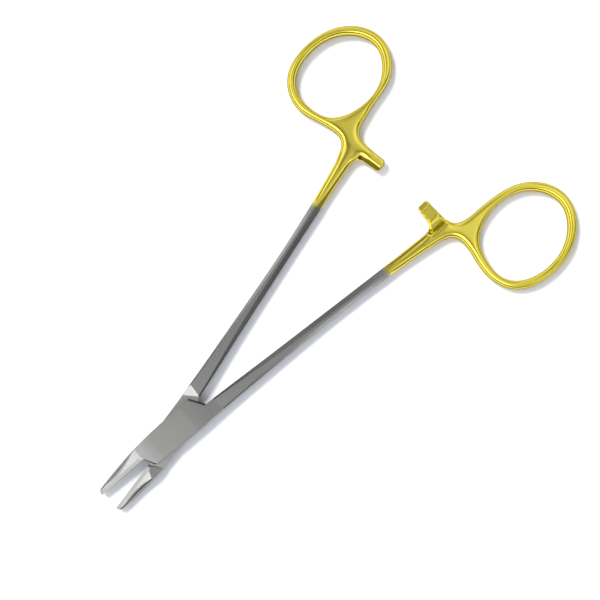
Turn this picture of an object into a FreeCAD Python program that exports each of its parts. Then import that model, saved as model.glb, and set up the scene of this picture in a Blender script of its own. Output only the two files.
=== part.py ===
import FreeCAD, Part
import math
import os

from FreeCAD import Vector

# Surgical needle holder with a box lock. Each arm is drawn closed, in its own frame: x runs from
# the hinge axis towards the finger ring, y points inwards to the closing line and the jaw, and z
# is up with the underside of the joint at zero. The arms are then mirrored and turned to the
# opening at which the instrument lies. Millimetres and degrees.

# How the instrument lies
rest_opening = 11.55

# Box lock
joint_thickness = 4.8
joint_end_thickness = 4.3
joint_half_width = 4.2
cheek_thickness = 1.35
slot_play = 0.04
heel_distance = 11.0
crotch_distance = 12.0
front_end_lean = 26.0
rear_end_lean = 32.0
front_corner_radius = 1.3
cheek_chamfer = 0.35
web_rim_step = 0.1
wall_play = 0.12
front_shoulder_gap = 0.35
rear_shoulder_gap = 0.6
bevel_drop = 1.1
front_bevel_length = 3.9
rear_bevel_length = 3.8

# Hinge pin
pin_radius = 1.25
pin_head_radius = 1.6
pin_head_depth = 0.4
bore_play = 0.03

# Jaws
jaw_length = 26.2
jaw_tip_width = 1.4
jaw_nose = 1.7
jaw_tip_thickness = 2.2
insert_heel_gap = 0.6
insert_depth = 1.0

# Shanks
shank_root_width = 4.2
shank_waist_width = 2.65
shank_end_width = 4.2
shank_waist_place = 0.62
shank_root_thickness = 4.3
shank_thickness = 3.8
box_shank_offset = 5.1
through_shank_offset = 5.6
parting_gap = 0.1

# Ratchet
ratchet_distance = 93.7
ratchet_width = 3.9
ratchet_tip = 2.0
ratchet_corner_radius = 0.9
tooth_pitch = 1.95
tooth_depth = 0.5
tooth_count = 3
tooth_lead = 1.9
tooth_undercut = 0.15
tooth_play = 0.1
ratchet_flank_width = 1.6
ratchet_flank_drop = 1.0

# Finger rings: the opening's length and width, and its centre seen from the ratchet and the hinge axis
box_ring_length = 26.05
box_ring_width = 22.25
box_ring_setback = 16.0
box_ring_offset = 23.3
box_ring_tilt = 0.0
through_ring_length = 25.2
through_ring_width = 20.6
through_ring_setback = 13.55
through_ring_offset = 22.7
through_ring_tilt = 10.0
ring_wall = 2.65
ring_thickness = 4.2
ring_edge_round = 0.95
crown_power = 2.1
bar_softness = 0.4

# Handle: the length over which it rises out of the shank, and the flares into ring and bar
handle_rise = 8.0
neck_flare = 5.4
bar_flare = 8.0
bar_inner_flare = 3.2

# The form of a ring: places round the opening in half lengths and half widths, and the wall there
RING_STATIONS = [
    (-1.0, -0.05, 0.98),
    (-0.82, -0.70, 0.92),
    (-0.10, -1.0, 0.85),
    (0.74, -0.62, 0.98),
    (1.0, 0.03, 1.05),
    (0.66, 0.755, 0.94),
    (-0.05, 1.0, 0.93),
    (-0.80, 0.66, 1.0),
]

middle = joint_thickness / 2
joint_flat = 0.55 * heel_distance
joint_reach = 1.35 * heel_distance
web_thickness = joint_thickness - 2 * (cheek_thickness + slot_play)
web_half_width = joint_half_width - web_rim_step
shank_length = ratchet_distance - ratchet_width / 2 - crotch_distance
insert_end = -heel_distance - insert_heel_gap
handle_start = ratchet_distance - ratchet_width / 2 - handle_rise


def curve(points, start=None, end=None):
    """A smooth edge through points in the plane, with end directions where they are given."""
    line = Part.BSplineCurve()
    places = [Vector(x, y, 0) for x, y in points]
    if start is None:
        line.interpolate(Points=places)
    else:
        line.interpolate(Points=places, InitialTangent=Vector(*start, 0), FinalTangent=Vector(*end, 0))
    return line.toShape()


def straight(first, last):
    return Part.LineSegment(Vector(*first, 0), Vector(*last, 0)).toShape()


def bend(first, through, last):
    return Part.Arc(Vector(*first, 0), Vector(*through, 0), Vector(*last, 0)).toShape()


def slab(edges, low, high):
    """The solid between two heights inside a closed outline."""
    face = Part.Face(Part.Wire(Part.__sortEdges__(edges)))
    face.translate(Vector(0, 0, low))
    return face.extrude(Vector(0, 0, high - low))


def polygon_slab(points, low, high):
    corners = [Vector(x, y, low) for x, y in points]
    return Part.Face(Part.makePolygon(corners + corners[:1])).extrude(Vector(0, 0, high - low))


def side_slab(points, near, far):
    """The solid between two values of y inside an outline in x and z."""
    corners = [Vector(x, near, z) for x, z in points]
    return Part.Face(Part.makePolygon(corners + corners[:1])).extrude(Vector(0, far - near, 0))


def on_circle(radius, degrees):
    turn = math.radians(degrees)
    return (radius * math.cos(turn), radius * math.sin(turn))


def tangent_angle(distance, radius):
    """Where a line from the point (distance, 0) touches a circle round the hinge, in degrees."""
    return math.degrees(math.acos(radius / distance))


def joint_half(x):
    """Half the joint's thickness: full across the hinge, easing down towards both ends."""
    share = max(0.0, (abs(x) - joint_flat) / (joint_reach - joint_flat))
    return middle - (joint_thickness - joint_end_thickness) / 2 * share ** 2


def jaw_width(x):
    """From the closing line to the outer edge, for x between the tip and the hinge."""
    return joint_half_width - (joint_half_width - jaw_tip_width) * (x / jaw_length) ** 2


def jaw_section(x):
    """Square-edged at the joint, turning half round over the first part of the jaw."""
    width = jaw_width(x)
    share = max(0.0, (-x - heel_distance) / (jaw_length - heel_distance))
    heel_half = joint_half(-heel_distance) - 0.005 * joint_thickness
    half = heel_half + (jaw_tip_thickness / 2 - heel_half) * share
    turned = min(1.0, max(0.1, 2.6 * share))
    flat = (1 - 0.5 * turned) * width
    side = (1 - 0.75 * turned) * half
    hip = ((1 - 0.13 * turned) * width, (1 - 0.26 * turned) * half)

    def place(y, z):
        return Vector(x, y, middle + z)

    return Part.Wire([
        Part.LineSegment(place(0, -half), place(0, half)).toShape(),
        Part.LineSegment(place(0, half), place(flat, half)).toShape(),
        Part.Arc(place(flat, half), place(hip[0], hip[1]), place(width, side)).toShape(),
        Part.LineSegment(place(width, side), place(width, -side)).toShape(),
        Part.Arc(place(width, -side), place(hip[0], -hip[1]), place(flat, -half)).toShape(),
        Part.LineSegment(place(flat, -half), place(0, -half)).toShape(),
    ])


def jaw():
    """The half-round tapered jaw, with its flat face on the closing line and a rounded nose."""
    free = jaw_length - heel_distance
    stations = [-0.75 * heel_distance] + [-heel_distance - free * share for share in (0, 0.2, 0.4, 0.7, 1)]
    body = Part.makeLoft([jaw_section(x) for x in stations], True, False)
    nose = jaw_nose
    wide = 2 * joint_half_width
    outline = [
        straight((0, 0), (0, wide)),
        straight((0, wide), (-jaw_length + nose, wide)),
        straight((-jaw_length + nose, wide), (-jaw_length + nose, jaw_width(-jaw_length + nose) + 0.05)),
        bend((-jaw_length + nose, jaw_width(-jaw_length + nose) + 0.05),
             (-jaw_length + 0.3 * nose, 0.75 * nose), (-jaw_length, 0.15 * nose)),
        straight((-jaw_length, 0.15 * nose), (-jaw_length + 0.1 * nose, 0)),
        straight((-jaw_length + 0.1 * nose, 0), (0, 0)),
    ]
    return body.common(slab(outline, 0, joint_thickness))


def shank_width(share):
    if share < shank_waist_place:
        return shank_waist_width + (shank_root_width - shank_waist_width) * (1 - share / shank_waist_place) ** 1.5
    return shank_waist_width + (shank_end_width - shank_waist_width) * (
        (share - shank_waist_place) / (1 - shank_waist_place)) ** 2


def shank_inner(share, shank_offset):
    """The inner edge of the shank, which runs outwards in a nearly straight line."""
    return -parting_gap - (shank_offset - parting_gap) * (1.09 * share - 0.09 * share ** 6)


def shank_section(share, shank_offset):
    """An eight-sided section: square next to the joint, then a narrow ridge above long facets.

    Towards the ratchet the ridge widens again into the flat of the handle.
    """
    x = crotch_distance + share * shank_length
    width = shank_width(max(0.0, share))
    inner = shank_inner(max(0.0, share), shank_offset)
    taper = min(1.0, max(0.0, share) / 0.45)
    spread = max(0.0, (share - 0.82) / 0.22)
    half = (shank_root_thickness + (shank_thickness - shank_root_thickness) * taper) / 2
    half = half + (ring_thickness - shank_thickness) / 2 * spread
    edge = half * (0.86 - 0.30 * taper + 0.12 * spread)
    ridge = (inner - width * (0.08 + 0.40 * taper - 0.30 * spread),
             inner - width * (0.92 - 0.20 * taper + 0.14 * spread))
    points = [
        (inner, -edge), (inner, edge), (ridge[0], half), (ridge[1], half),
        (inner - width, edge), (inner - width, -edge), (ridge[1], -half), (ridge[0], -half),
    ]
    corners = [Vector(x, y, middle + z) for y, z in points]
    return Part.makePolygon(corners + corners[:1])


def shank(shank_offset):
    shares = [-0.035, 0.02, 0.2, 0.4, 0.6, 0.82, 0.95, 1.04]
    return Part.makeLoft([shank_section(share, shank_offset) for share in shares], True, False)


def ring_outlines(length, width, setback, offset, tilt):
    """Points of a ring's opening and of its outer edge, both from the left, the long way round."""
    inner = []
    outer = []
    distance = ratchet_distance + setback
    turn = math.radians(tilt)
    for along, across, wall in RING_STATIONS:
        x = along * length / 2
        y = across * width / 2
        nx = along / length
        ny = across / width
        size = math.hypot(nx, ny)
        wall = wall * ring_wall
        for points, stand_off in ((inner, 0.0), (outer, wall)):
            px = x + nx / size * stand_off
            py = y + ny / size * stand_off
            points.append((distance + px * math.cos(turn) - py * math.sin(turn),
                           -offset + px * math.sin(turn) + py * math.cos(turn)))
    return inner, outer


def closed_curve(points, knots=None):
    line = Part.BSplineCurve()
    places = [Vector(x, y, 0) for x, y in points]
    if knots is None:
        line.interpolate(Points=places, PeriodicFlag=True)
    else:
        line.interpolate(Points=places, PeriodicFlag=True, Parameters=knots)
    return line


def rounded_plate(points, thickness, edge_round, softness):
    """A plate with a smooth outline, given anticlockwise, and rounded edges above and below.

    Softness is the share of the round that each point gets. A negative round flares the edges
    outwards, which shapes the tool that cuts an opening.
    """
    outline = closed_curve(points)
    knots = outline.getKnots()
    directions = [outline.tangent(knot)[0] for knot in knots[:-1]]
    wires = []
    for height in (-1.0, -0.92, -0.75, -0.45, 0.0, 0.45, 0.75, 0.92, 1.0):
        inset = edge_round * (1 - (1 - abs(height) ** crown_power) ** (1 / crown_power))
        shifted = []
        for (x, y), way, soft in zip(points, directions, softness):
            shifted.append((x - way.y * inset * soft, y + way.x * inset * soft))
        wire = Part.Wire(closed_curve(shifted, knots).toShape())
        wire.translate(Vector(0, 0, middle + height * thickness / 2))
        wires.append(wire)
    return Part.makeLoft(wires, True, False)


def handle_outline(outer, shank_offset):
    """Anticlockwise from the shank: neck, ring, root of the bar, tip of the bar, and back."""
    left = outer[0][0]
    top = outer[6][1]
    near = ratchet_distance - ratchet_width / 2
    far = ratchet_distance + ratchet_width / 2
    share = (handle_start - crotch_distance) / shank_length
    inner = shank_inner(share, shank_offset)
    start_top = inner - 0.3 * shank_width(share)
    start_low = inner - 0.75 * shank_width(share)
    sunk = handle_start + 0.19 * handle_rise
    lift = 0.05 * shank_end_width
    edge = -shank_offset - 0.88 * shank_end_width
    reach = neck_flare
    neck = [
        (sunk, start_low - lift),
        (left - 0.56 * reach, edge - 0.11 * reach),
        (left - 0.13 * reach, edge - 0.27 * reach),
        (left + 0.14 * reach, edge - 0.575 * reach),
        (left + 0.21 * reach, edge - reach),
        (left + 0.10 * reach, (edge - reach + outer[0][1]) / 2),
    ]
    reach = bar_flare
    bar_root = [
        (far + 0.94 * reach, top + 0.02 * reach),
        (far + 0.375 * reach, top + 0.095 * reach),
        (far + 0.145 * reach, top + 0.245 * reach),
        (far + 0.05 * reach, top + 0.575 * reach),
        (far + 0.012 * reach, top + reach),
    ]
    tip = ratchet_tip
    corner = ratchet_corner_radius
    reach = bar_inner_flare
    bar = [
        (far, tip - 2 * corner),
        (far - 0.1 * corner, tip - 0.7 * corner),
        (far - 0.6 * corner, tip - 0.1 * corner),
        (far - 1.6 * corner, tip),
        (near + 1.7 * corner, tip),
        (near + 0.75 * corner, tip - 0.1 * corner),
        (near + 0.25 * corner, tip - 0.7 * corner),
        (near + 0.12 * corner, tip - 2 * corner),
        (near, -shank_offset + reach),
        (near - 0.04 * reach, -shank_offset + 0.69 * reach),
        (near - 0.235 * reach, -shank_offset + 0.30 * reach),
        (near - 0.625 * reach, -shank_offset + 0.08 * reach),
        (sunk, start_top + lift),
        (handle_start, (start_top + start_low) / 2),
    ]
    ring = outer[:7]
    softness = [1.0] * (len(neck) + len(ring)) + [0.9, 0.8, 0.65, 0.5] + [bar_softness] * (len(bar) - 3)
    softness += [0.5, 0.6, 0.6, 0.6]
    return neck + ring + bar_root + bar, softness


def handle(length, width, setback, offset, tilt, shank_offset):
    """Finger ring, neck and ratchet bar: one flat forging, with its start sunk in the shank."""
    inner, outer = ring_outlines(length, width, setback, offset, tilt)
    outline, softness = handle_outline(outer, shank_offset)
    body = rounded_plate(outline, ring_thickness, ring_edge_round, softness)
    body = body.cut(rounded_plate(inner, 1.005 * ring_thickness, -ring_edge_round, [1.0] * len(inner)))
    near = ratchet_distance - ratchet_width / 2
    return body.cut(handle_taper(near)).cut(ratchet_flank(near, shank_offset))


def handle_taper(near):
    """What is taken off so that the handle rises out of the shank with no step."""
    low = 0.3 * shank_thickness
    high = ring_thickness / 2
    start = handle_start - 0.1 * handle_rise
    end = near + 0.4 * ratchet_width
    wedge = [(start, middle + low), (handle_start, middle + low), (end, middle + 1.005 * high),
             (end, middle + 2 * high), (start, middle + 2 * high)]
    upper = side_slab(wedge, -4 * joint_half_width, joint_half_width)
    lower = upper.mirror(Vector(0, 0, middle), Vector(0, 0, 1))
    return upper.fuse(lower)


def ratchet_flank(near, shank_offset):
    """The slope ground along the joint side of the ratchet bar, above and below."""
    high = ring_thickness / 2
    low = high - ratchet_flank_drop
    before = near - ratchet_flank_width
    after = near + ratchet_flank_width
    wedge = [(before, middle + low), (near, middle + low), (after, middle + 1.005 * high),
             (after, middle + 2 * high), (before, middle + 2 * high)]
    upper = side_slab(wedge, -shank_offset + 0.2 * bar_inner_flare, 2 * ratchet_tip)
    lower = upper.mirror(Vector(0, 0, middle), Vector(0, 0, 1))
    return upper.fuse(lower)


def ratchet_cutter():
    """Leaves the lower half of the bar, with saw teeth whose steep sides face the shank."""
    crest = middle - tooth_play / 2
    floor = crest - tooth_depth
    first = ratchet_tip - tooth_lead
    profile = [(1.5 * ratchet_tip, crest - 0.45 * tooth_depth)]
    for tooth in range(tooth_count):
        place = first - tooth * tooth_pitch
        profile.append((place, crest))
        profile.append((place - tooth_undercut, floor))
    root = first - tooth_count * tooth_pitch
    profile.append((root + 0.3 * tooth_pitch, floor + 0.25 * tooth_depth))
    profile.append((root + 0.05 * tooth_pitch, crest))
    profile.append((root - 0.4 * tooth_pitch, middle + 0.52 * ring_thickness))
    profile.append((root - 0.4 * tooth_pitch, middle + ring_thickness))
    profile.append((1.5 * ratchet_tip, middle + ring_thickness))
    near = ratchet_distance - ratchet_width
    corners = [Vector(near, y, z) for y, z in profile]
    return Part.Face(Part.makePolygon(corners + corners[:1])).extrude(Vector(2.6 * ratchet_width, 0, 0))


def joint_profile():
    """The joint seen from the side: flat across the hinge, easing down towards both ends."""
    places = [-joint_reach, -(joint_reach + joint_flat) / 2, -joint_flat,
              joint_flat, (joint_reach + joint_flat) / 2, joint_reach]

    def outline(side):
        points = [Vector(x, 0, middle + side * joint_half(x)) for x in places]
        return [Part.Arc(*points[:3]), Part.LineSegment(points[2], points[3]), Part.Arc(*points[3:])]

    lines = [line.toShape() for line in outline(1) + outline(-1)]
    half = joint_half(joint_reach)
    for x in (-joint_reach, joint_reach):
        lines.append(Part.LineSegment(Vector(x, 0, middle - half), Vector(x, 0, middle + half)).toShape())
    face = Part.Face(Part.Wire(Part.__sortEdges__(lines)))
    face.translate(Vector(0, -4 * joint_half_width, 0))
    return face.extrude(Vector(0, 8 * joint_half_width, 0))


def front_end(y, gap=0.0):
    """x on the leaning front end of the cheeks, which starts at the heel and falls away to -y."""
    return -heel_distance - gap + abs(y) * math.tan(math.radians(front_end_lean))


def rear_end(y, gap=0.0):
    """x on the leaning rear end of the cheeks, which runs from the crotch to the far edge."""
    return crotch_distance + gap - abs(y) * math.tan(math.radians(rear_end_lean))


def cheek_block():
    """The box before its slot is cut: leaning ends, a rounded front corner and chamfered rims."""
    half = joint_half_width
    radius = front_corner_radius
    lean = math.radians(front_end_lean)
    edge_y = -0.9 * half
    turn_in = radius * math.tan((math.pi / 2 - lean) / 2)
    corner = (front_end(edge_y), edge_y)
    first = (corner[0] - turn_in * math.sin(lean), corner[1] + turn_in * math.cos(lean))
    last = (corner[0] + turn_in, corner[1])
    outward = math.pi + (math.pi / 2 - lean) / 2 + lean
    centre = (last[0], edge_y + radius)
    through = (centre[0] + radius * math.cos(outward), centre[1] + radius * math.sin(outward))
    rear_top = rear_end(half)
    stop = joint_reach
    share = (stop - crotch_distance) / shank_length
    stop_inner = shank_inner(share, box_shank_offset)
    outline = [
        straight((-heel_distance, 0), first),
        bend(first, through, last),
        curve([last, (-0.3 * heel_distance, -0.97 * half), (0.3 * crotch_distance, -1.02 * half),
               (stop, stop_inner - shank_width(share))]),
        straight((stop, stop_inner - shank_width(share)), (stop, stop_inner)),
        straight((stop, stop_inner), (crotch_distance, -parting_gap)),
        straight((crotch_distance, -parting_gap), (rear_top, half)),
        curve([(rear_top, half), (0, half), (-0.5 * heel_distance, jaw_width(-0.5 * heel_distance)),
               (-heel_distance, jaw_width(-heel_distance) - 0.1)]),
        straight((-heel_distance, jaw_width(-heel_distance) - 0.1), (-heel_distance, 0)),
    ]
    body = slab(outline, -1, joint_thickness + 1).common(joint_profile())
    rims = []
    for edge in body.Edges:
        box = edge.BoundBox
        on_face = box.ZLength < 0.5 and abs((box.ZMin + box.ZMax) / 2 - middle) > 0.7 * middle
        front = box.XMax < -0.6 * heel_distance and box.YMax < 0.01
        rear = box.XMin > rear_top - 0.1 and box.XMax < crotch_distance + 0.1 and box.YMax > 0.5 * half
        if on_face and (front or rear):
            rims.append(edge)
    return body.makeChamfer(cheek_chamfer, rims)


def slot_cutter():
    """The slot through the box: two parallel cheeks, and end walls that just clear the web."""
    radius = joint_half_width + wall_play / 2
    front_turn = 180 - tangent_angle(heel_distance, radius)
    rear_turn = -tangent_angle(crotch_distance, radius)
    front_touch = on_circle(radius, front_turn)
    rear_touch = on_circle(radius, rear_turn)
    reach = 1.35
    front_out = (-heel_distance + (front_touch[0] + heel_distance) * reach, front_touch[1] * reach)
    rear_out = (crotch_distance + (rear_touch[0] - crotch_distance) * reach, rear_touch[1] * reach)
    points = [
        (-heel_distance, 0), front_out, (rear_end(0), 2 * joint_half_width),
        (crotch_distance + 2, 0.01), (crotch_distance, 0), rear_out,
        (front_end(0), -2 * joint_half_width), (-heel_distance - 2, -0.01),
    ]
    low = cheek_thickness
    high = joint_thickness - cheek_thickness
    clear = Part.makeCylinder(radius, high - low, Vector(0, 0, low))
    return polygon_slab(points, low, high).fuse(clear)


def web():
    """The thin middle of the through arm, a disc round the hinge between jaw and shank."""
    radius = web_half_width
    front_turn = 180 + tangent_angle(heel_distance + wall_play, radius)
    rear_turn = tangent_angle(crotch_distance + wall_play, radius)
    front_touch = on_circle(radius, front_turn)
    rear_touch = on_circle(radius, rear_turn)
    jaw_end = -1.2 * heel_distance
    shank_end = 1.2 * crotch_distance
    heel = (-heel_distance - wall_play, parting_gap / 2)
    fork = (crotch_distance + wall_play, -parting_gap)
    outline = [
        straight((jaw_end, parting_gap / 2), heel),
        straight(heel, front_touch),
        bend(front_touch, on_circle(radius, (front_turn + 270) / 2), on_circle(radius, 270)),
        straight(on_circle(radius, 270), (shank_end, -shank_root_width - parting_gap + 0.1)),
        straight((shank_end, -shank_root_width - parting_gap + 0.1), (shank_end, -2 * parting_gap)),
        straight((shank_end, -2 * parting_gap), fork),
        straight(fork, rear_touch),
        bend(rear_touch, on_circle(radius, (rear_turn + 90) / 2), on_circle(radius, 90)),
        curve([on_circle(radius, 90), (-0.55 * heel_distance, jaw_width(-0.55 * heel_distance) - web_rim_step),
               (jaw_end, jaw_width(jaw_end) - web_rim_step)]),
        straight((jaw_end, jaw_width(jaw_end) - web_rim_step), (jaw_end, parting_gap / 2)),
    ]
    low = middle - web_thickness / 2
    return slab(outline, low, low + web_thickness)


def facet_cutter(first, second, low_point):
    """Everything above a plane through two points at full height and one that lies lower."""
    a, b, c = [Vector(*point) for point in (first, second, low_point)]
    normal = (b - a).cross(c - a)
    normal.normalize()
    if normal.z < 0:
        normal = normal * -1
    along = b - a
    along.normalize()
    across = normal.cross(along)
    size = 2 * joint_half_width
    corners = [a + along * (u * size) + across * (v * size) for u, v in ((-1, -1), (2, -1), (2, 1), (-1, 1))]
    return Part.Face(Part.makePolygon(corners + corners[:1])).extrude(normal * size)


def shouldered_jaw():
    """The through arm's jaw, cut off at its shoulder and ground to a facet that falls to the joint."""
    end = 1.5 * joint_half_width
    keep = polygon_slab([(-jaw_length - 1, -1), (front_end(0, front_shoulder_gap), -1),
                         (front_end(0, front_shoulder_gap), 0),
                         (front_end(end, front_shoulder_gap), end), (-jaw_length - 1, end)],
                        0, joint_thickness)
    body = jaw().common(keep)
    top = middle + joint_half(-heel_distance)
    outer = jaw_width(-heel_distance)
    shoulder = front_end(outer, front_shoulder_gap)
    facet = facet_cutter((front_end(0, front_shoulder_gap) - 0.5, 0, top),
                         (shoulder - 1.2 * front_bevel_length, outer, top - 0.2 * bevel_drop),
                         (shoulder, outer, top - bevel_drop))
    return body.cut(facet).cut(facet.mirror(Vector(0, 0, middle), Vector(0, 0, 1)))


def shouldered_shank():
    """The through arm's shank, cut off and ground in the same way behind the joint."""
    end = 1.5 * joint_half_width
    keep = polygon_slab([(ratchet_distance, 1), (rear_end(0, rear_shoulder_gap), 1),
                         (rear_end(0, rear_shoulder_gap), 0),
                         (rear_end(end, rear_shoulder_gap), -end),
                         (crotch_distance, -5 * joint_half_width),
                         (2 * ratchet_distance, -5 * joint_half_width), (2 * ratchet_distance, 1)],
                        0, joint_thickness)
    body = shank(through_shank_offset).common(keep)
    top = middle + shank_root_thickness / 2
    outer = shank_root_width
    shoulder = rear_end(outer, rear_shoulder_gap)
    facet = facet_cutter((rear_end(0, rear_shoulder_gap), -0.3, top),
                         (shoulder + rear_bevel_length, -outer, top),
                         (shoulder, -outer, top - bevel_drop))
    return body.cut(facet).cut(facet.mirror(Vector(0, 0, middle), Vector(0, 0, 1)))


def pin_shape(radius, head_radius, head_depth):
    """A pin with countersunk heads at both ends, as long as the joint is thick."""
    high = joint_thickness
    points = [(0, 0), (head_radius, 0), (radius, head_depth), (radius, high - head_depth),
              (head_radius, high), (0, high)]
    corners = [Vector(x, 0, z) for x, z in points]
    return Part.Face(Part.makePolygon(corners + corners[:1])).revolve(Vector(0, 0, 0), Vector(0, 0, 1), 360)


def hinge_pin():
    return pin_shape(pin_radius, pin_head_radius, pin_head_depth).common(joint_profile())


def insert_cutter():
    """The recess for the hard insert, along the closing line from the tip."""
    start = -1.1 * jaw_length
    return polygon_slab([(start, -insert_depth), (insert_end, -insert_depth),
                         (insert_end, insert_depth), (start, insert_depth)], 0, joint_thickness)


def box_arm():
    body = jaw().fuse([cheek_block(), shank(box_shank_offset)])
    body = body.fuse(handle(box_ring_length, box_ring_width, box_ring_setback,
                            box_ring_offset, box_ring_tilt, box_shank_offset))
    body = body.cut(slot_cutter())
    body = body.cut(insert_cutter())
    body = body.cut(pin_shape(pin_radius, pin_head_radius, pin_head_depth))
    return body.cut(ratchet_cutter())


def through_arm():
    body = shouldered_jaw().fuse([web(), shouldered_shank()])
    body = body.fuse(handle(through_ring_length, through_ring_width, through_ring_setback,
                            through_ring_offset, through_ring_tilt, through_shank_offset))
    body = body.cut(insert_cutter())
    body = body.cut(Part.makeCylinder(pin_radius + bore_play, joint_thickness))
    return body.cut(ratchet_cutter().mirror(Vector(0, 0, middle), Vector(0, 0, 1)))


def insert():
    return jaw().common(insert_cutter())


def place_box(shape):
    shape.rotate(Vector(0, 0, 0), Vector(0, 0, 1), -rest_opening / 2)
    return shape


def place_through(shape):
    shape = shape.mirror(Vector(0, 0, 0), Vector(0, 1, 0))
    shape.rotate(Vector(0, 0, 0), Vector(0, 0, 1), rest_opening / 2)
    return shape


def export(name, shape):
    if len(shape.Solids) != 1 or not shape.isValid():
        raise ValueError(name + " is not one valid solid")
    shape.Solids[0].exportStep("parts/" + name + ".step")


def main():
    os.makedirs("parts", exist_ok=True)
    export("box_arm", place_box(box_arm()))
    export("through_arm", place_through(through_arm()))
    export("hinge_pin", hinge_pin())
    export("box_jaw_insert", place_box(insert()))
    export("through_jaw_insert", place_through(insert()))


if __name__ == "__main__":
    main()
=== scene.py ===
import math
import bpy
from mathutils import Matrix, Vector


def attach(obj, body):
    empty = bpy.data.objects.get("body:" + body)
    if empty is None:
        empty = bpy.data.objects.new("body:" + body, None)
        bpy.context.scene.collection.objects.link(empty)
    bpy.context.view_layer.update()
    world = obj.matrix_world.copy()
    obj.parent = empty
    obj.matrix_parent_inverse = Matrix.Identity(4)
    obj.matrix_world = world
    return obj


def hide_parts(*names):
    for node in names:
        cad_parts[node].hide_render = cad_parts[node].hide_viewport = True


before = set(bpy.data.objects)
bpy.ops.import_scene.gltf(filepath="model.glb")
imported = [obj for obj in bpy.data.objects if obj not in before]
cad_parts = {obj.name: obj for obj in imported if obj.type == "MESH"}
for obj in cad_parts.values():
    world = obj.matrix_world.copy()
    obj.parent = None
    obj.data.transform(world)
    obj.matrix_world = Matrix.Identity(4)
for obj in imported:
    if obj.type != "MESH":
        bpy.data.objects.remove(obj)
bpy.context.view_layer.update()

# The two arms. Each is one drop forging in martensitic stainless steel, ground at the joint,
# tumbled at the handle and brushed to a satin. Both finger rings, with their necks and ratchet
# bars, are gold plated to mark an instrument with hard inserts.
mm = 0.001
rest_opening = math.radians(11.55)
arm_turns = {"box_arm": rest_opening / 2, "through_arm": -rest_opening / 2}

# Along the arm from the pin: where the plating starts, how far its edge fades, and how ragged
# that edge is.
plating_start = 74.0 * mm
plating_edge = 2.0 * mm
plating_rag = 2.5 * mm

# Real satin lines are about 0.03 mm wide. They are drawn four times as wide, so that they show.
brush_line = 0.12 * mm
brush_length = 9.0 * mm
steel_colour = "#A09E99"
steel_roughness = (0.21, 0.28)
gold_colour = "#EDD957"
gold_roughness = 0.13
# A dark tint for slanting views: painted shade on the walls and rims, standing in for dark
# surroundings mirrored there.
painted_edge_shade_colour = "#6A665C"

# The tumbling: how fine the skin is cut for it, how many rounds it gets, the angle from which
# an edge stays an edge, and where it fades in along the arm. It spares the ratchet bar, which
# leaves the shank at bar_root, measured across the arm, and most of the ring.
polish_grain = 0.2 * mm
polish_passes = 60
polish_start = plating_start + 1.0 * mm
polish_fade = 4.0 * mm
bar_root = -3.4 * mm
bar_fade = 1.2 * mm
bar_care = {"box_arm": 0.88, "through_arm": 0.94}
ring_start = 98.0 * mm
ring_fade = 4.0 * mm
ring_care = 0.75
edge_angle = math.radians(50)
weld_distance = 0.001 * mm


def hex_colour(text):
    """An sRGB hex value as linear red, green, blue and alpha."""
    parts = [int(text[place:place + 2], 16) / 255 for place in (1, 3, 5)]
    return [part / 12.92 if part <= 0.04045 else ((part + 0.055) / 1.055) ** 2.4
            for part in parts] + [1.0]


def new_material(name):
    """An empty node material, with its tree and its shader."""
    material = bpy.data.materials.new(name)
    material.use_nodes = True
    tree = material.node_tree
    return material, tree, tree.nodes["Principled BSDF"]


def add_node(tree, kind, settings=None, links=None):
    """A node with its settings; a whole number or a name in settings means an input socket."""
    node = tree.nodes.new(kind)
    for key, value in (settings or {}).items():
        if isinstance(key, int) or key in node.inputs:
            node.inputs[key].default_value = value
        else:
            setattr(node, key, value)
    for key, socket in (links or {}).items():
        tree.links.new(socket, node.inputs[key])
    return node


def wear(obj, material):
    """Gives the whole piece one material."""
    obj.data.materials.clear()
    obj.data.materials.append(material)


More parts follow.
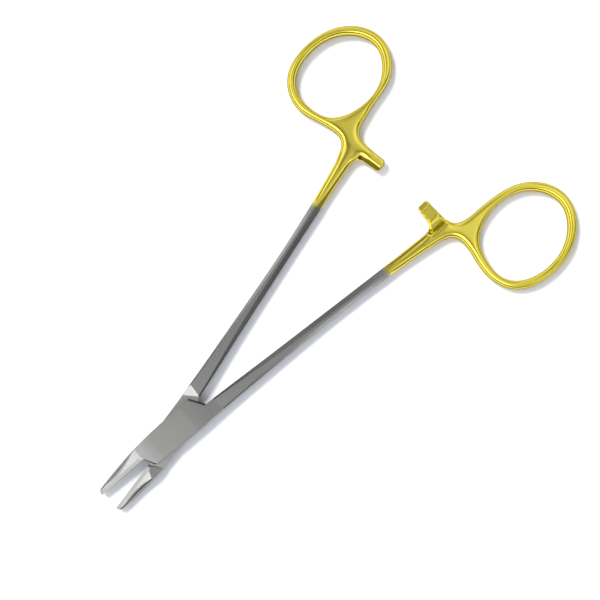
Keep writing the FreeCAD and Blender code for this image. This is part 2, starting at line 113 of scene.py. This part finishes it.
def forged_arm_finish_and_edge_shade(name, turn):
    """Satin stainless steel, brushed along the arm, which gives a grey sheen in fine streaks.
    Past plating_start it is polished gold plate, with clear reflections. Both turn darker
    towards a slanting view. This is painted shade, standing in for dark surroundings
    mirrored in their walls, so that the walls stand out."""
    material, tree, shader = new_material(name)
    coordinates = add_node(tree, "ShaderNodeTexCoord")
    along = add_node(tree, "ShaderNodeMapping", {"Rotation": (0, 0, turn)},
                     {"Vector": coordinates.outputs["Object"]})
    place = add_node(tree, "ShaderNodeSeparateXYZ", None, {0: along.outputs[0]})
    ragged = add_node(tree, "ShaderNodeTexNoise", {"Scale": 1 / plating_rag, "Detail": 3.0},
                      {"Vector": along.outputs[0]})
    shift = add_node(tree, "ShaderNodeMath", {"operation": "MULTIPLY", 1: plating_edge},
                     {0: ragged.outputs["Fac"]})
    reach = add_node(tree, "ShaderNodeMath", {"operation": "ADD"},
                     {0: place.outputs["X"], 1: shift.outputs[0]})
    plating = add_node(tree, "ShaderNodeMapRange",
                       {"From Min": plating_start, "From Max": plating_start + plating_edge,
                        "interpolation_type": "SMOOTHSTEP"}, {"Value": reach.outputs[0]})
    stretch = add_node(tree, "ShaderNodeMapping",
                       {"Scale": (1 / brush_length, 1 / brush_line, 1 / brush_line)},
                       {"Vector": along.outputs[0]})
    brush = add_node(tree, "ShaderNodeTexNoise", {"Scale": 1.0, "Detail": 4.0},
                     {"Vector": stretch.outputs[0]})
    satin = add_node(tree, "ShaderNodeMapRange",
                     {"To Min": steel_roughness[0], "To Max": steel_roughness[1]},
                     {"Value": brush.outputs["Fac"]})
    roughness = add_node(tree, "ShaderNodeMix", {"B": gold_roughness},
                         {"Factor": plating.outputs[0], "A": satin.outputs[0]})
    colour = add_node(tree, "ShaderNodeMix",
                      {"data_type": "RGBA", "A": hex_colour(steel_colour),
                       "B": hex_colour(gold_colour)}, {0: plating.outputs[0]})
    tree.links.new(colour.outputs[2], shader.inputs["Base Color"])
    tree.links.new(roughness.outputs[0], shader.inputs["Roughness"])
    shader.inputs["Metallic"].default_value = 1.0
    # The dark grazing tint paints shade on the walls and rims wherever they are seen at a slant.
    shader.inputs["Specular Tint"].default_value = hex_colour(painted_edge_shade_colour)
    return material


def pick_alone(obj):
    """Selects one object alone and makes it the active one."""
    bpy.ops.object.select_all(action="DESELECT")
    bpy.context.view_layer.objects.active = obj
    obj.select_set(True)


def cut_across(obj, axis, side):
    """Cuts an arm square across where its plating starts, keeps one side and closes it."""
    pick_alone(obj)
    bpy.ops.object.mode_set(mode="EDIT")
    bpy.ops.mesh.select_all(action="SELECT")
    bpy.ops.mesh.bisect(plane_co=axis * plating_start, plane_no=axis, use_fill=True,
                        clear_inner=side == "handle", clear_outer=side == "front")
    bpy.ops.object.mode_set(mode="OBJECT")


def apply_modifier(obj, kind, **settings):
    """Adds a modifier with its settings and applies it."""
    pick_alone(obj)
    modifier = obj.modifiers.new(kind.lower(), kind)
    for key, value in settings.items():
        setattr(modifier, key, value)
    bpy.ops.object.modifier_apply(modifier=modifier.name)


def copied_forging(name):
    """A copy of an arm's CAD mesh, with its normals noted and its loose triangles merged."""
    copy = bpy.data.objects.new(name + "_forging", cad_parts[name].data.copy())
    bpy.context.collection.objects.link(copy)
    normals = [tuple(normal.vector) for normal in copy.data.corner_normals]
    ground = copy.data.attributes.new("ground_normals", "FLOAT_VECTOR", "CORNER")
    for corner, normal in zip(ground.data, normals):
        corner.vector = normal
    pick_alone(copy)
    bpy.ops.object.mode_set(mode="EDIT")
    bpy.ops.mesh.select_all(action="SELECT")
    bpy.ops.mesh.remove_doubles(threshold=weld_distance)
    bpy.ops.object.mode_set(mode="OBJECT")
    return copy


def fade(value, start, length):
    """Nought before the start, one past the length, and even in between."""
    return min(1.0, max(0.0, (value - start) / length))


def tumbled_handle(name, axis, inwards):
    """The forging past the plating line, with its edges rolled soft."""
    handle = copied_forging(name)
    apply_modifier(handle, "REMESH", mode="VOXEL", voxel_size=polish_grain)
    cut_across(handle, axis, "handle")
    group = handle.vertex_groups.new(name="polish")
    for vertex in handle.data.vertices:
        distance = vertex.co.dot(axis)
        polish = fade(distance, polish_start, polish_fade)
        polish *= 1 - bar_care[name] * fade(vertex.co.dot(inwards), bar_root, bar_fade)
        polish *= 1 - ring_care * fade(distance, ring_start, ring_fade)
        group.add([vertex.index], polish, "REPLACE")
    apply_modifier(handle, "SMOOTH", factor=0.5, iterations=polish_passes, vertex_group="polish")
    bpy.ops.object.shade_smooth_by_angle(angle=edge_angle)
    return handle


def ground_front(name, axis):
    """The forging before the plating line, with its ground faces flat and their edges crisp."""
    front = copied_forging(name)
    cut_across(front, axis, "front")
    ground = front.data.attributes["ground_normals"]
    normals = [Vector(corner.vector).normalized() for corner in ground.data]
    front.data.attributes.remove(ground)
    front.data.normals_split_custom_set(normals)
    return front


for arm, side in (("box_arm", "box_side"), ("through_arm", "through_side")):
    turn = arm_turns[arm]
    axis = Vector((math.cos(turn), -math.sin(turn), 0))
    inwards = Vector((math.sin(turn), math.cos(turn), 0)) * (1 if turn > 0 else -1)
    handle = tumbled_handle(arm, axis, inwards)
    forging = ground_front(arm, axis)
    pick_alone(forging)
    handle.select_set(True)
    bpy.ops.object.join()
    wear(forging, forged_arm_finish_and_edge_shade("Plated stainless steel of " + arm, turn))
    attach(forging, side)
    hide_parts(arm)

# The hinge pin, turned from the same stainless steel, peened into both cheeks and ground flush
# with them. The grinding leaves it even and dull, without the streaks of the brushed arms.
pin_roughness = 0.25
pin_finish, tree, shader = new_material("Ground stainless steel")
shader.inputs["Base Color"].default_value = hex_colour(steel_colour)
shader.inputs["Metallic"].default_value = 1.0
shader.inputs["Roughness"].default_value = pin_roughness
wear(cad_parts["hinge_pin"], pin_finish)

# The two hard inserts: sintered tungsten carbide, brazed into the jaws. Their gripping faces
# have the fine cross cut that holds a needle, 0.5 mm apart at 45 degrees.
cut_pitch = 0.5 * mm
cut_depth = 0.08 * mm
carbide_colour = "#A3A19E"
carbide_roughness = 0.42
grip_facing = 0.7


def cross_cut_carbide(name, turn):
    """Sintered carbide, a duller grey than the steel, with crossed grooves on the faces that
    look across the arm, where they break the light into small points."""
    material, tree, shader = new_material(name)
    coordinates = add_node(tree, "ShaderNodeTexCoord")
    along = add_node(tree, "ShaderNodeMapping", {"Rotation": (0, 0, turn)},
                     {"Vector": coordinates.outputs["Object"]})
    place = add_node(tree, "ShaderNodeSeparateXYZ", None, {0: along.outputs[0]})
    half_step = cut_pitch * math.sqrt(0.5)
    grooves = []
    for way in ("ADD", "SUBTRACT"):
        slant = add_node(tree, "ShaderNodeMath", {"operation": way},
                         {0: place.outputs["X"], 1: place.outputs["Z"]})
        grooves.append(add_node(tree, "ShaderNodeMath", {"operation": "PINGPONG", 1: half_step},
                                {0: slant.outputs[0]}))
    cut = add_node(tree, "ShaderNodeMath", {"operation": "MINIMUM"},
                   {0: grooves[0].outputs[0], 1: grooves[1].outputs[0]})
    across = add_node(tree, "ShaderNodeVectorMath",
                      {"operation": "DOT_PRODUCT", 1: (math.sin(turn), math.cos(turn), 0)},
                      {0: coordinates.outputs["Normal"]})
    facing = add_node(tree, "ShaderNodeMath", {"operation": "ABSOLUTE"},
                      {0: across.outputs["Value"]})
    gripping = add_node(tree, "ShaderNodeMath", {"operation": "GREATER_THAN", 1: grip_facing},
                        {0: facing.outputs[0]})
    bump = add_node(tree, "ShaderNodeBump", {"Distance": cut_depth / half_step},
                    {"Height": cut.outputs[0], "Strength": gripping.outputs[0]})
    tree.links.new(bump.outputs[0], shader.inputs["Normal"])
    shader.inputs["Base Color"].default_value = hex_colour(carbide_colour)
    shader.inputs["Metallic"].default_value = 1.0
    shader.inputs["Roughness"].default_value = carbide_roughness
    return material


for insert, arm in (("box_jaw_insert", "box_arm"), ("through_jaw_insert", "through_arm")):
    finish = cross_cut_carbide("Tungsten carbide of " + insert, arm_turns[arm])
    wear(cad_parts[insert], finish)

# The table: a sheet of white board that the instrument lies on. Uncoated board is matt, so it
# takes the soft shadow and shows no gloss.
board_size = 3.0
board_colour = "#EDEDF1"
board_roughness = 0.9
bpy.ops.object.select_all(action="DESELECT")
bpy.ops.mesh.primitive_plane_add(size=board_size, location=(0, 0, 0))
board = bpy.context.object
board.name = "white_board"
board_finish, tree, shader = new_material("White board")
shader.inputs["Base Color"].default_value = hex_colour(board_colour)
shader.inputs["Roughness"].default_value = board_roughness
shader.inputs["Specular IOR Level"].default_value = 0.0
wear(board, board_finish)

# The camera, straight above the instrument and turned as in the photograph, so that the arms
# run from the lower left to the upper right. The square view is 166.7 mm wide.
view_centre = Vector((50.94 * mm, -0.82 * mm, 2.4 * mm))
view_width = 166.67 * mm
camera_height = 0.47
sensor_width = 36
nearest_seen = 0.01
image_right = Vector((0.6798, -0.7334, 0)).normalized()
image_up = Vector((0.7334, 0.6798, 0)).normalized()
overhead = Vector((0, 0, 1))
camera = bpy.data.objects.new("camera", bpy.data.cameras.new("camera"))
bpy.context.collection.objects.link(camera)
camera.data.sensor_width = sensor_width
camera.data.lens = sensor_width * camera_height / view_width
camera.data.clip_start = nearest_seen
axes = Matrix((image_right, image_up, overhead)).transposed().to_4x4()
camera.matrix_world = Matrix.Translation(view_centre + overhead * camera_height) @ axes
bpy.context.scene.camera = camera

# The key light, a soft lamp from the upper left, which casts the shadow. The metal doesn't
# mirror it, because its place is taken by the screens of the studio below.
key_energy = 2.65
key_softness = math.radians(15)
key = bpy.data.objects.new("key", bpy.data.lights.new("key", "SUN"))
bpy.context.collection.objects.link(key)
key.data.energy = key_energy
key.data.angle = key_softness
key_way = (-image_right * 0.44 + image_up * 0.42 + overhead).normalized()
key.rotation_euler = key_way.to_track_quat("Z", "Y").to_euler()
key.visible_glossy = False

# The studio: grey all round, with pale screens that the metal mirrors and one dark one. Each is
# a soft round patch of the sky: its bearing in the picture, anticlockwise from the right, its
# tilt from overhead, its inner and outer radius, all in degrees, and its strength.
studio_grey = 0.22
sky_colour = "#F7FAFF"
screens = [
    (45, 34, 14, 36, 0.66),
    (232, 30, 9, 26, 2.60),
    (288, 33, 10, 32, 0.55),
    (166, 40, 14, 34, 1.15),
    (100, 56, 5, 24, 1.00),
    (320, 42, 4, 17, 0.75),
    (25, 12, 3, 13, 0.50),
    (275, 88, 20, 55, -0.15),
]
world = bpy.data.worlds.new("studio")
bpy.context.scene.world = world
world.use_nodes = True
tree = world.node_tree
way = add_node(tree, "ShaderNodeTexCoord")
level = None
for *degrees, strength in screens:
    bearing, tilt, inner, outer = [math.radians(value) for value in degrees]
    flat = image_right * math.cos(bearing) + image_up * math.sin(bearing)
    centre = flat * math.sin(tilt) + overhead * math.cos(tilt)
    near = add_node(tree, "ShaderNodeVectorMath", {"operation": "DOT_PRODUCT", 1: centre},
                    {0: way.outputs["Generated"]})
    patch = add_node(tree, "ShaderNodeMapRange",
                     {"From Min": math.cos(outer), "From Max": math.cos(inner),
                      "To Max": strength, "interpolation_type": "SMOOTHSTEP"},
                     {"Value": near.outputs["Value"]})
    total = add_node(tree, "ShaderNodeMath", {"operation": "ADD", 0: studio_grey},
                     {1: patch.outputs[0]})
    if level:
        tree.links.new(level, total.inputs[0])
    level = total.outputs[0]
sky = tree.nodes["Background"]
sky.inputs["Color"].default_value = hex_colour(sky_colour)
tree.links.new(level, sky.inputs["Strength"])

bpy.context.scene.view_settings.view_transform = "Standard"
